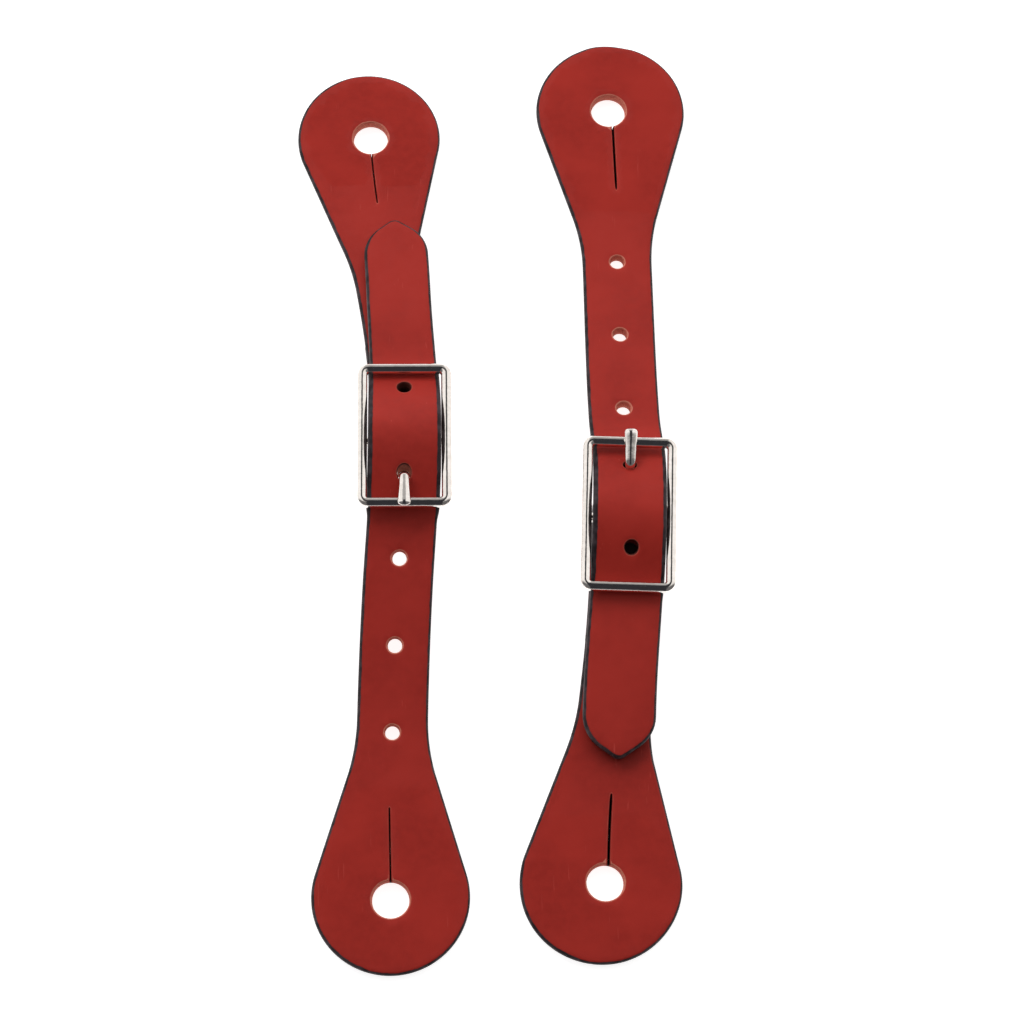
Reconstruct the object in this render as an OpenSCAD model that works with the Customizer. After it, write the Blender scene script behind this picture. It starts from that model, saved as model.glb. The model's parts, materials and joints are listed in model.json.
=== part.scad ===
// A pair of western spur straps. Each strap is a billet (the long leather with the holes) buckled to a
// buckle strap (the short leather) by a centre-bar buckle, and each leather ends in a round head with
// a button hole and a slit for the spur's button.
// Each strap is drawn at the centre of its own buckle: +Y runs along the buckle strap, -Y along the
// billet, +Z up from the surface that it lies on. place() then lays both straps side by side.

/* [Leather] */
// Width of the straps
strap_w = 18.9; // [17:0.1:19.2]
// Thickness of the leather
leather_t = 3.7; // [3:0.1:3.8]
// Thickness of the leather where it is skived to fold round the bar
skived_t = 2.4; // [1.8:0.1:2.6]
// Angle at which a head tapers to the strap
taper = 17; // [14:1:20]
// Radius of the concave curve between the taper and the strap
neck_r = 55; // [40:1:60]
// Angle between the sides of the billet's point and the strap's width
tip_angle = 35; // [28:1:42]
// Radius of the shoulders of the billet's point
shoulder_r = 10; // [6:0.5:11]
// Radius of the round heads
head_r = 20.5; // [19:0.1:22]

/* [Holes] */
// Diameter of the holes for the spur's buttons
button_hole_d = 9.8; // [8:0.1:12]
// Width of the slit that lets a button into its hole
slit_w = 0.7; // [0.4:0.1:1.2]
// Diameter of the adjusting holes
hole_d = 4; // [3.5:0.1:4.4]
// Distance between adjusting holes
hole_pitch = 23.1; // [21:0.1:23.5]
// Number of adjusting holes in front of the tongue
front_holes = 3; // [1:1:3]

/* [Buckle] */
// Outer length of the buckle frame
frame_l = 42.2; // [41.4:0.1:42.6]
// Width of the frame's bars
rail_w = 2.8; // [2.4:0.1:2.8]
// Height of the frame's bars
rail_h = 2.4; // [2:0.1:2.6]
// Outer corner radius of the frame
frame_r = 3.1; // [2.9:0.1:3.5]
// Diameter of the centre bar
bar_d = 2.6; // [2.2:0.1:2.6]
// Width of the tongue
tongue_w = 3; // [2.6:0.1:3.2]
// Thickness of the tongue
tongue_t = 2; // [1.8:0.1:2.1]

/* [Rivet] */
// Diameter of the rivet's heads
rivet_head_d = 8; // [7:0.5:9]
// Diameter of the rivet's shank
rivet_d = 3; // [2.6:0.1:3.2]

/* [Hidden] */
$fn = 48;

// The two straps of the pair, cut by hand, so that each has its own small differences. A row holds:
// where the buckle lies, how far it is turned, how much wider the strap is than strap_w, the reach of
// the billet's tip, how much the tail narrows, the adjusting holes on each side of the tongue's, the
// reach of the tongue, its hole, how much the hole is drawn out, and where the tongue rises through it.
// A drift says how a leather's centre line leaves the buckle's, as [along, sideways, slope].
// A head holds: reach of its centre, how much larger it is than head_r, then sideways from the
// centre line, the button hole, the slit's start and the slit's end, then the slit's length from the
// head's centre, and how far the button hole lies beyond that centre
LEFT = 0;
RIGHT = 1;
STRAPS = [
  [[-24.9, 10.7], -0.8, -0.3, 67, 0.5, -32.6, 14.2, -21.4, -10.9, 0.6, -11.5],
  [[34.3, -12.4], 177, 0.3, 65, 0, -31.6, 9.9, -22.5, -13.1, 0.2, -13]
];
BILLET_DRIFTS = [
  [[-145, -3.8, 0.004], [-85, -3.4, 0.012], [-40, -1.85, 0.056], [-8, 0, 0.02], [12, 0, -0.02],
   [45, -1.65, -0.045], [70, -3, -0.05]],
  [[-145, 7.2, -0.045], [-85, 4, -0.055], [-40, 2.05, -0.05], [-29, 1.4, -0.07], [-16, 0.12, -0.04],
   [-4, 0, 0], [10, 0, 0], [45, 1.4, 0.03], [70, 1.3, -0.03]]
];
BUCKLE_DRIFTS = [
  [[-6, 0, 0], [20, -0.5, -0.06], [60, -6.2, -0.175], [95, -10, -0.05], [120, -10.8, -0.02]],
  [[-6, 0, 0], [20, 0.4, 0.03], [60, 3.45, 0.085], [92, 5.35, 0.02], [120, 4.9, -0.02]]
];
BILLET_HEADS = [[122.4, -0.1, 0, 0, -0.5, 23.2, 0.8], [125, 0.4, 0.5, -0.5, -0.7, 24.4, 0.1]];
BUCKLE_HEADS = [[94.4, -0.6, 0.5, 0.4, 0.7, 20.2, 0], [97.4, 0.5, -1.1, -1.8, -1.4, 23.7, -0.3]];
function spot(s) = STRAPS[s][0];
function turn(s) = STRAPS[s][1];
function half_w(s) = (strap_w + STRAPS[s][2]) / 2;
function tail_reach(s) = STRAPS[s][3];
function tail_narrow(s) = STRAPS[s][4];
function front_hole(s) = STRAPS[s][5];
function back_hole(s) = STRAPS[s][6];
function finger_reach(s) = STRAPS[s][7];
function tongue_hole(s) = STRAPS[s][8];
function worn(s) = STRAPS[s][9];
function riser_y(s) = STRAPS[s][10];
function reach(head) = head[0];
function radius(head) = head_r + head[1];

nose_r = 2.6;

// The fold round the centre bar
bar_r = bar_d / 2;
fold_in = bar_r + 0.3;
fold_out = fold_in + skived_t;
bar_z = 10.6;

// Undersides of the leathers from the side, as [along, height, slope]. The stiff leather bridges from
// head to head, so the buckle stands clear of the surface. The tail lies on the buckle strap.
ply_gap = 0.3;
tail_lift = leather_t + ply_gap;
skive_end = 12;
lap_knots = [[0, bar_z + fold_in, -0.25], [20, 4.4, -0.25], [36, 2.8, -0.07], [78, 0, 0]];
billet_knots = [
  [-92, 0, 0], [-33, 6.3, 0.14], [-20, 9.4, 0.33], [0, 15, 0], [20, 4.4 + tail_lift, -0.25]
];
return_t = 1.8;
return_end = 35;
return_gap = 0.12;

// Where each leather starts to flex, and how far up
billet_flex_y = -30;
billet_flex = 60;
buckle_flex_y = 68;
buckle_flex = 40;
knuckle_gap = 0.12;

// Buckle frame: its back bar rests on the tail
frame_play = 0.9;
frame_mid_x = (strap_w + frame_play + rail_w) / 2;
frame_mid_y = (frame_l - rail_w) / 2;
front_bar_z = 14.7;
back_bar_z = 12.9;
frame_z = (front_bar_z + back_bar_z) / 2;
frame_pitch = atan((back_bar_z - front_bar_z) / (2 * frame_mid_y));
ear_l = 3.2;

// Tongue: a loop round the bar, a low shank, a riser through the leather, a finger over the front bar
tongue_hole_d = hole_d + 0.2;
riser_top = front_bar_z + rail_h - 1.7;
shank_z = bar_z - 0.2;
bend_r = 1.8;
finger_rise = 14.5;
loop_clear = 0.06;
loop_r = bar_r + loop_clear + 1.1;
slot_w = tongue_w + 1.6;
slot_end = 5.5;

// Rivet: set flush into both faces of the buckle strap
rivet_y = 27;
rivet_head_t = 0.7;
rivet_flush = 0.25;
cap_neck_r = rivet_d / 2 + 0.8;

LEATHER = [0.60, 0.17, 0.15];
NICKEL = [0.82, 0.81, 0.80];

// Smooth step from 0 to 1
function ease(t) = let(c = min(max(t, 0), 1)) c * c * (3 - 2 * c);
function span(a, b, n) = [for (i = [0:n]) a + (b - a) * i / n];
function reversed(list) = [for (i = [len(list) - 1:-1:0]) list[i]];
function arc(at, r, a, b, n) = [for (t = span(a, b, n)) at + r * [cos(t), sin(t)]];

// Height at y of the smooth curve through a list of knots
function joined(p, q, y) = let(l = q[0] - p[0], t = min(max((y - p[0]) / l, 0), 1))
  p[1] + (q[1] - p[1]) * ease(t) + l * t * (1 - t) * (p[2] * (1 - t) - q[2] * t);
function curve(knots, y, i = 0) =
  i + 2 < len(knots) && y > knots[i + 1][0] ? curve(knots, y, i + 1) : joined(knots[i], knots[i + 1], y);

// A point u across a leather and y along it, on its drifting centre line
function bent(drift, u, y) = let(a = atan(curve(drift, y + 0.5) - curve(drift, y - 0.5)))
  [curve(drift, y) + u * cos(a), y - u * sin(a)];
function billet_at(s, u, y) = bent(BILLET_DRIFTS[s], u, y);
function buckle_at(s, u, y) = bent(BUCKLE_DRIFTS[s], u, y);

// Half of a head's outline, as [across, towards the buckle] from its centre
function neck(r, w) = (r + neck_r - (w + neck_r) * cos(taper)) / sin(taper);
function head_half(r, w) = concat(
  arc([0, 0], r, -90, taper, 20),
  arc([w + neck_r, neck(r, w)], neck_r, 180 + taper, 180, 7)
);
// Half of the billet's point: a shoulder, a straight side and a small round nose
function shoulder_y(s, w) = tail_reach(s) - nose_r
  - (sin(tip_angle) * (w - shoulder_r) + shoulder_r - nose_r) / cos(tip_angle);
function tip_half(s, w) = concat(
  arc([w - shoulder_r, shoulder_y(s, w)], shoulder_r, 0, 90 - tip_angle, 9),
  arc([0, tail_reach(s) - nose_r], nose_r, 90 - tip_angle, 84, 2)
);

// Half outlines seen from above, then the whole outlines
function billet_half(s) = let(h = BILLET_HEADS[s], w = half_w(s), tail = w - tail_narrow(s)) concat(
  [for (p = head_half(radius(h), w)) [p[0], p[1] - reach(h)]],
  [for (y = span(neck(radius(h), w) - reach(h) + 5, 0, 12)) [w, y]],
  [for (y = span(4, shoulder_y(s, tail) - 3, 8)) [w - tail_narrow(s) * ease(y / 40), y]],
  tip_half(s, tail)
);
function buckle_half(s) = let(h = BUCKLE_HEADS[s], w = half_w(s)) concat(
  [for (p = head_half(radius(h), w)) [p[0], reach(h) - p[1]]],
  [for (y = span(reach(h) - neck(radius(h), w) - 5, 0, 8)) [w, y]],
  [[w, -fold_out - 1]]
);
function billet_plan(s) = concat(
  [for (p = billet_half(s)) billet_at(s, p[0], p[1])],
  [for (p = reversed(billet_half(s))) billet_at(s, -p[0], p[1])]
);
function buckle_plan(s) = concat(
  [for (p = buckle_half(s)) buckle_at(s, p[0], p[1])],
  [for (p = reversed(buckle_half(s))) buckle_at(s, -p[0], p[1])]
);

// Heights of the undersides along the straps, and the thickness over the skived fold
function lap_z(y) = curve(lap_knots, y);
function lap_t(y) = skived_t + (leather_t - skived_t) * ease(y / skive_end);
function billet_z(y) = y < 20 ? curve(billet_knots, y) : lap_z(y) + tail_lift;
function lean(y) = atan((billet_z(y + 0.5) - billet_z(y - 0.5)));
function return_top(y) = lap_z(y) - return_gap - max(0, 1 - y / 14) * (2 * fold_in - return_gap);
function return_thick(y) = skived_t + (return_t - skived_t) * ease(y / skive_end);

function ribbon(lower, upper) = concat(lower, reversed(upper));
function billet_side(ys) =
  ribbon([for (y = ys) [y, billet_z(y)]], [for (y = ys) [y, billet_z(y) + leather_t]]);
function lap_side(ys) = ribbon([for (y = ys) [y, lap_z(y)]], [for (y = ys) [y, lap_z(y) + lap_t(y)]]);
function return_side(ys) =
  ribbon([for (y = ys) [y, return_top(y) - return_thick(y)]], [for (y = ys) [y, return_top(y)]]);

ramp_ys = concat(span(billet_knots[0][0], -36, 14), [-33, billet_flex_y]);
arch_ys = concat(span(billet_flex_y, 20, 25), span(22, 36, 7), span(40, 76, 9));
lap_ys = concat(span(0, 36, 18), span(40, 64, 6), [buckle_flex_y]);
fall_ys = span(buckle_flex_y, 78, 4);

// Where a point of a strap lies, and the shift that centres the pair over the origin
function laid(s, p) = let(c = cos(turn(s)), n = sin(turn(s)))
  spot(s) + [p[0] * c - p[1] * n, p[0] * n + p[1] * c];
outline = [for (s = [LEFT, RIGHT], p = concat(billet_plan(s), buckle_plan(s))) laid(s, p)];
xs = [for (p = outline) p[0]];
ys = [for (p = outline) p[1]];
shift = -[min(xs) + max(xs), min(ys) + max(ys)] / 2;

module place(s) {
  translate([spot(s)[0] + shift[0], spot(s)[1] + shift[1], 0])
    rotate(turn(s))
      children();
}

// A side view drawn as [along Y, up Z], extruded across the strap
module across(w) {
  rotate([90, 0, 90])
    linear_extrude(height = w, center = true)
      children();
}

// Leather: its side view cut to its outline from above
module cut_leather(plan) {
  intersection() {
    union()
      children();
    translate([0, 0, -1])
      linear_extrude(height = 24)
        polygon(plan);
  }
}
full_w = 140;

// What a flexing end sweeps about its pivot, seen from the side; way is -1 or 1 along Y
module swept(pivot, way, flex) {
  clear = leather_t / 2 + knuckle_gap;
  translate([0, pivot[0], pivot[1]])
    across(full_w + 1) {
      circle(r = clear);
      rotate(way > 0 ? flex : 180 - flex)
        translate([0, -clear])
          square([20, 2 * clear]);
    }
}
module knuckle(pivot) {
  translate([0, pivot[0], pivot[1]])
    across(full_w)
      circle(d = leather_t);
}
billet_pivot = [billet_flex_y, billet_z(billet_flex_y) + leather_t / 2];
buckle_pivot = [buckle_flex_y, lap_z(buckle_flex_y) + leather_t / 2];

// A hole through the leather at a point of its centre line, leaning with the leather's slope
module hole(at, d, z = 5, leaning = 0) {
  translate([at[0], at[1], z])
    rotate([leaning, 0, 0])
      cylinder(d = d, h = 40, center = true);
}

// An adjusting hole in the billet
module adjusting_hole(s, y) {
  hole(billet_at(s, 0, y), hole_d, billet_z(y) + leather_t, lean(y));
}

// A head's button hole, and its slit that runs towards the buckle
module button_hole(drift, head, way) {
  hole(bent(drift, head[2], way * (reach(head) + head[6])), button_hole_d);
  from = bent(drift, head[3], way * (reach(head) - button_hole_d * 0.3));
  run = bent(drift, head[4], way * (reach(head) - head[5])) - from;
  translate([from[0], from[1], -1])
    rotate(atan2(run[1], run[0]))
      translate([0, -slit_w / 2, 0])
        cube([norm(run), slit_w, 20]);
}

module billet(s) {
  color(LEATHER)
    difference() {
      cut_leather(billet_plan(s))
        across(full_w)
          polygon(billet_side(arch_ys));
      swept(billet_pivot, -1, billet_flex);
      hole(billet_at(s, 0, tongue_hole(s) - worn(s)), tongue_hole_d);
      hole(billet_at(s, 0, tongue_hole(s) + worn(s)), tongue_hole_d);
      adjusting_hole(s, back_hole(s));
    }
}

module billet_head(s) {
  color(LEATHER)
    difference() {
      cut_leather(billet_plan(s)) {
        across(full_w)
          polygon(billet_side(concat([-200], ramp_ys)));
        knuckle(billet_pivot);
      }
      for (i = [0:front_holes - 1])
        adjusting_hole(s, front_hole(s) - i * hole_pitch);
      button_hole(BILLET_DRIFTS[s], BILLET_HEADS[s], -1);
    }
}

// The half ring of leather in front of the bar
module fold() {
  translate([0, 0, bar_z])
    difference() {
      rotate([0, 90, 0])
        cylinder(r = fold_out, h = full_w, center = true);
      rotate([0, 90, 0])
        cylinder(r = fold_in, h = full_w + 1, center = true);
      translate([-full_w, 0, -fold_out - 1])
        cube([2 * full_w, 2 * fold_out, 2 * fold_out + 2]);
    }
}

module buckle_strap(s) {
  rivet = buckle_at(s, 0, rivet_y);
  color(LEATHER)
    difference() {
      cut_leather(buckle_plan(s)) {
        across(full_w)
          polygon(lap_side(lap_ys));
        fold();
        across(full_w)
          polygon(return_side(span(0, return_end, 18)));
      }
      swept(buckle_pivot, 1, buckle_flex);
      translate([-slot_w / 2, -fold_out - 1, -1])
        cube([slot_w, fold_out + 1 + slot_end, 24]);
      at_rivet(s) {
        cylinder(d = rivet_d + 0.2, h = 20, center = true);
        translate([0, 0, -10])
          cylinder(d = rivet_head_d + 0.2, h = 10 + rivet_head_t + 0.05);
        translate([0, 0, rivet_l - rivet_head_t - 0.05])
          cylinder(d = rivet_head_d + 0.2, h = 10);
        translate([0, 0, neck_from - 0.05])
          cylinder(r = cap_neck_r + 0.1, h = 10);
      }
    }
}

module buckle_strap_head(s) {
  color(LEATHER)
    difference() {
      cut_leather(buckle_plan(s)) {
        across(full_w)
          polygon(lap_side(concat(fall_ys, [160])));
        knuckle(buckle_pivot);
      }
      button_hole(BUCKLE_DRIFTS[s], BUCKLE_HEADS[s], 1);
    }
}

// Section of the frame's bars: flat underneath, half round on top
module bar_section() {
  translate([-rail_w / 2, 0])
    square([rail_w, rail_h - rail_w / 2]);
  translate([0, rail_h - rail_w / 2])
    circle(d = rail_w);
}

module straight_bar(l) {
  rotate([90, 0, 0])
    linear_extrude(height = l, center = true)
      bar_section();
}

module buckle_frame() {
  turn_r = frame_r - rail_w / 2;
  color(NICKEL)
    translate([0, 0, bar_z])
      rotate([frame_pitch, 0, 0]) {
        translate([0, 0, frame_z - bar_z]) {
          for (x = [-1, 1])
            translate([x * frame_mid_x, 0, 0])
              straight_bar(2 * (frame_mid_y - turn_r));
          for (y = [-1, 1])
            translate([0, y * frame_mid_y, 0])
              rotate(90)
                straight_bar(2 * (frame_mid_x - turn_r));
          for (a = [0:3])
            translate([(a == 0 || a == 3 ? 1 : -1) * (frame_mid_x - turn_r),
                       (a < 2 ? 1 : -1) * (frame_mid_y - turn_r), 0])
              rotate(90 * a)
                rotate_extrude(angle = 90)
                  translate([turn_r, 0])
                    bar_section();
        }
        for (x = [-1, 1])
          translate([x * frame_mid_x, 0, 0]) {
            translate([-rail_w / 2, -ear_l / 2, 0])
              cube([rail_w, ear_l, frame_z - bar_z + rail_h / 2]);
            rotate([0, 90, 0])
              cylinder(d = ear_l, h = rail_w, center = true);
          }
        rotate([0, 90, 0])
          cylinder(d = bar_d, h = 2 * frame_mid_x, center = true);
      }
}

// The tongue's bent strip, seen from the side
half_t = tongue_t / 2;
function finger_bend(s) = [riser_y(s) - bend_r, riser_top];
function finger_l(s) =
  (finger_bend(s)[0] + bend_r * sin(finger_rise) - finger_reach(s) - half_t) / cos(finger_rise);
function finger_side(s, r) = arc(finger_bend(s), r, 0, 90 - finger_rise, 10);
function finger_end(s, r) = finger_bend(s) + r * [sin(finger_rise), cos(finger_rise)]
  + finger_l(s) * [-cos(finger_rise), sin(finger_rise)];
function shank_bend(s) = [riser_y(s) + bend_r, shank_z + bend_r];
function tongue_side(s) = concat(
  [[0, shank_z - half_t]],
  arc(shank_bend(s), bend_r + half_t, 270, 180, 10),
  finger_side(s, bend_r - half_t), [finger_end(s, bend_r - half_t)],
  [finger_end(s, bend_r + half_t)], reversed(finger_side(s, bend_r + half_t)),
  arc(shank_bend(s), bend_r - half_t, 180, 270, 6),
  [[0, shank_z + half_t]]
);

module tongue(s) {
  color(NICKEL)
    difference() {
      union() {
        across(tongue_w)
          polygon(tongue_side(s));
        across(tongue_w)
          translate(finger_end(s, bend_r))
            circle(d = tongue_t);
        across(tongue_w)
          translate([0, bar_z])
            circle(r = loop_r);
      }
      translate([0, 0, bar_z])
        rotate([0, 90, 0])
          cylinder(r = bar_r + loop_clear, h = 20, center = true);
    }
}

// The rivet leans with the buckle strap that it goes through
rivet_lean = atan(lap_z(rivet_y + 0.5) - lap_z(rivet_y - 0.5));
rivet_foot = return_top(rivet_y) - return_thick(rivet_y) + rivet_flush;
rivet_l = lap_z(rivet_y) + leather_t - rivet_flush - rivet_foot;
neck_from = lap_z(rivet_y) - rivet_foot;

module at_rivet(s) {
  at = buckle_at(s, 0, rivet_y);
  translate([at[0], at[1], rivet_foot])
    rotate([rivet_lean, 0, 0])
      children();
}

module rivet_stud(s) {
  color(NICKEL)
    at_rivet(s) {
      cylinder(d = rivet_head_d, h = rivet_head_t);
      cylinder(d = rivet_d, h = rivet_l - rivet_head_t);
    }
}

module rivet_cap(s) {
  color(NICKEL)
    at_rivet(s)
      difference() {
        union() {
          translate([0, 0, rivet_l - rivet_head_t])
            cylinder(d = rivet_head_d, h = rivet_head_t);
          translate([0, 0, neck_from])
            cylinder(r = cap_neck_r, h = rivet_l - neck_from);
        }
        translate([0, 0, -1])
          cylinder(d = rivet_d, h = 1 + rivet_l - rivet_head_t);
      }
}

module left_buckle_strap() { place(LEFT) buckle_strap(LEFT); }
module left_buckle_strap_head() { place(LEFT) buckle_strap_head(LEFT); }
module left_billet() { place(LEFT) billet(LEFT); }
module left_billet_head() { place(LEFT) billet_head(LEFT); }
module left_buckle_frame() { place(LEFT) buckle_frame(); }
module left_tongue() { place(LEFT) tongue(LEFT); }
module left_rivet_stud() { place(LEFT) rivet_stud(LEFT); }
module left_rivet_cap() { place(LEFT) rivet_cap(LEFT); }
module right_buckle_strap() { place(RIGHT) buckle_strap(RIGHT); }
module right_buckle_strap_head() { place(RIGHT) buckle_strap_head(RIGHT); }
module right_billet() { place(RIGHT) billet(RIGHT); }
module right_billet_head() { place(RIGHT) billet_head(RIGHT); }
module right_buckle_frame() { place(RIGHT) buckle_frame(); }
module right_tongue() { place(RIGHT) tongue(RIGHT); }
module right_rivet_stud() { place(RIGHT) rivet_stud(RIGHT); }
module right_rivet_cap() { place(RIGHT) rivet_cap(RIGHT); }

left_buckle_strap();
left_buckle_strap_head();
left_billet();
left_billet_head();
left_buckle_frame();
left_tongue();
left_rivet_stud();
left_rivet_cap();
right_buckle_strap();
right_buckle_strap_head();
right_billet();
right_billet_head();
right_buckle_frame();
right_tongue();
right_rivet_stud();
right_rivet_cap();
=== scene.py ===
"""A pair of western spur straps in red-brown leather, each buckled with a nickel centre-bar buckle.

Lengths inside this script are in millimetres unless a name says otherwise; M turns them into metres.
Each strap is made at the centre of its own buckle, +Y along the buckle strap and -Y along the billet,
and then laid where the frame's joints say that the buckle is.
"""

import json
import math

import bmesh
import bpy
import numpy as np
from mathutils import Matrix, Vector, geometry


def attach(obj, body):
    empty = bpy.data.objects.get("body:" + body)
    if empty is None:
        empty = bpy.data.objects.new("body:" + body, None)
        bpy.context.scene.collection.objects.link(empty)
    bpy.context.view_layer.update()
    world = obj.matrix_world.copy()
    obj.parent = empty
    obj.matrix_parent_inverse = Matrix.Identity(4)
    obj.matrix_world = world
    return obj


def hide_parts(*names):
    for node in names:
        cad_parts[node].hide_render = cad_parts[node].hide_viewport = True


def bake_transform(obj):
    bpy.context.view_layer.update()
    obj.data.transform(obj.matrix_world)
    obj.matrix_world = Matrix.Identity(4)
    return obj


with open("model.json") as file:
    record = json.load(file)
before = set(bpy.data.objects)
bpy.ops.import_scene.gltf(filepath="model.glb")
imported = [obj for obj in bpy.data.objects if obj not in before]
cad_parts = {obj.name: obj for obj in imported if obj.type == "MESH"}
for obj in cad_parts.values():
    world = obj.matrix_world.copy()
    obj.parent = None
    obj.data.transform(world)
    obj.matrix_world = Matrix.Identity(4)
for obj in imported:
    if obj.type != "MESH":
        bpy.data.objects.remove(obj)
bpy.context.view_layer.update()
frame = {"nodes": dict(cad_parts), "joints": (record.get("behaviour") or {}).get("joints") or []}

M = 0.001
JOINTS = {j["name"]: j for j in frame["joints"]}
SIDES = ("left", "right")

# The leather, laid out flat: across is u, and y runs along from the centre bar. Where a value comes in a
# pair, it is for the left strap and then for the right one
STRAP_W = 18.9
WIDER = (-0.3, 0.3)
LEATHER_T = 3.7
SKIVED_T = 2.4
TAPER = 17
NECK_R = 55
HEAD_R = 20.5
TIP_ANGLE = 35
SHOULDER_R = 10
NOSE_R = 2.6
TAIL_REACH = (67, 65)
TAIL_NARROW = (0.5, 0)

# The holes that the billet is buckled by: three in front of the bar, the tongue's and one behind the bar
HOLE_R = 2.0
HOLE_PITCH = 23.1
FRONT_HOLE = (-32.6, -31.6)
FRONT_HOLES = 3
BACK_HOLE = ((0, 13.7), (-0.6, 9.3))
BACK_HOLE_R = 1.8
TONGUE_HOLE = (-10.5, -12.95)
TONGUE_HOLE_W = 3.5
TONGUE_HOLE_L = (4.4, 2.4)

# A head: reach of the centre, how much larger it is than HEAD_R, then sideways the button hole, the slit's
# start and the slit's end; the slit's length from the centre, and how far the hole lies beyond the centre
BILLET_HEADS = ([122.4, -0.1, 0, 0, -0.5, 23.2, 0.8], [125, 0.4, 0.5, -0.5, -0.7, 24.4, 0.1])
BUCKLE_HEADS = ([94.4, -0.6, 0.5, 0.4, 0.7, 20.2, 0], [97.4, 0.5, -1.1, -1.8, -1.4, 23.7, -0.3])
BUTTON_R = 4.9
SLIT_W = 0.05
BILLET_SLIT_OPEN = (0.2, 0.42)
BUCKLE_SLIT_OPEN = (0.16, 0.5)

# The bar, and the buckle strap that folds round it and comes back underneath
BAR_Z = 10.6
BAR_R = 1.3
FOLD_IN = BAR_R + 0.3
FOLD_L = math.pi * (FOLD_IN + SKIVED_T / 2)
SKIVE_END = 12
RETURN_T = 1.8
RETURN_END = 35
RETURN_GAP = 0.12
RETURN_R = 3
SLOT_W = 4.6
SLOT_END = 5.5
RIVET_Y = 27
RIVET_R = 4.1

# How the leathers rise, as [along, height of the underside, slope], and how far they lie to the side, as
# [along, aside, slope]
TAIL_LIFT = LEATHER_T + 0.3
LAP_KNOTS = [[0, BAR_Z + FOLD_IN, -0.25], [20, 4.4, -0.25], [36, 2.8, -0.07], [78, 0, 0]]
BILLET_KNOTS = [
    [-92, 0, 0],
    [-33, 6.3, 0.14],
    [-20, 9.4, 0.33],
    [0, 15, 0],
    [20, 4.4 + TAIL_LIFT, -0.25],
]
BILLET_DRIFTS = (
    [[-145, -3.8, 0.004], [-85, -3.4, 0.012], [-40, -1.85, 0.056], [-8, 0, 0.02], [12, 0, -0.02],
     [45, -1.65, -0.045], [70, -3, -0.05]],
    [[-145, 7.2, -0.045], [-85, 4, -0.055], [-40, 2.05, -0.05], [-29, 1.4, -0.07], [-16, 0.12, -0.04],
     [-4, 0, 0], [10, 0, 0], [45, 1.4, 0.03], [70, 1.3, -0.03]],
)
BUCKLE_DRIFTS = (
    [[-6, 0, 0], [20, -0.5, -0.06], [60, -6.2, -0.175], [95, -10, -0.05], [120, -10.8, -0.02]],
    [[-6, 0, 0], [20, 0.4, 0.03], [60, 3.45, 0.085], [92, 5.35, 0.02], [120, 4.9, -0.02]],
)

# The frame, whose rails run at FRAME_MID on either side, each FRAME_STRETCH further out lengthwise
FRAME_MID = (11.3, 19.7)
FRAME_STRETCH = (-0.2, 0.4)
FRAME_CORNER = 1.75
RAIL_W = 2.8
RAIL_H = 2.4
FRONT_BAR_Z = 14.7
BACK_BAR_Z = 12.9
EAR_R = 1.6

# The billet fills the frame's opening between y = -GRIP_Y and GRIP_Y, and is free again GRIP_FADE on
GRIP_Y = 19
GRIP_FADE = 3.5
GRIP_GAP = 0.12

# The tongue: a strip wrapped round the bar, a shank under the billet, a riser and a finger
TONGUE_W = 3.0
TONGUE_T = 2.0
WRAP_T = 1.1
WRAP_GAP = 0.06
WRAP_FROM, WRAP_TO = -142, 118
SHANK_Z = BAR_Z - 0.2
KNEE_R = 2.2
BEND_R = 1.8
RISER_Y = (-11.5, -13.0)
RISER_TOP = FRONT_BAR_Z + RAIL_H - 1.7
FINGER_RISE = 14.5
FINGER_REACH = (-21.4, -22.5)


def rad(deg):
    return math.radians(deg)


def ease(t):
    c = min(max(t, 0), 1)
    return c * c * (3 - 2 * c)


def span(a, b, n):
    """n equal steps from a to b, with both ends."""
    return [a + (b - a) * i / n for i in range(n + 1)]


def joined(p, q, y):
    """Height at y of the smooth curve from knot p to knot q."""
    reach = q[0] - p[0]
    t = min(max((y - p[0]) / reach, 0), 1)
    return p[1] + (q[1] - p[1]) * ease(t) + reach * t * (1 - t) * (p[2] * (1 - t) - q[2] * t)


def curve(knots, y):
    """Height at y of the smooth curve through a list of knots [along, height, slope]."""
    i = 0
    while i + 2 < len(knots) and y > knots[i + 1][0]:
        i += 1
    return joined(knots[i], knots[i + 1], y)


def bent(drift, u, y):
    """A point u across a leather and y along it, on its drifting centre line."""
    a = math.atan(curve(drift, y + 0.5) - curve(drift, y - 0.5))
    return curve(drift, y) + u * math.cos(a), y - u * math.sin(a)


def in_buckle(y):
    """1 inside the buckle, 0 away from it."""
    free = GRIP_Y + GRIP_FADE
    return ease((y + free) / GRIP_FADE) * ease((free - y) / GRIP_FADE)


def arc(at, r, a, b, n):
    """n steps round a centre, from a to b in degrees."""
    return [(at[0] + r * math.cos(rad(t)), at[1] + r * math.sin(rad(t))) for t in span(a, b, n)]


# Outlines of the leathers laid out flat


def neck(r, w):
    """How far from a head's centre its flare becomes the strap's straight side."""
    return (r + NECK_R - (w + NECK_R) * math.cos(rad(TAPER))) / math.sin(rad(TAPER))


def head_half(r, w):
    """The right half of a head of radius r and its flare, with the strap, 2 w wide, towards +Y."""
    return arc((0, 0), r, -90, TAPER, 34) + arc((w + NECK_R, neck(r, w)), NECK_R, 180 + TAPER, 180, 10)[1:]


def shoulder_y(s, w):
    """Where the tail's side begins to turn towards its tip."""
    rise = math.sin(rad(TIP_ANGLE)) * (w - SHOULDER_R) + SHOULDER_R - NOSE_R
    return TAIL_REACH[s] - NOSE_R - rise / math.cos(rad(TIP_ANGLE))


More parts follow.
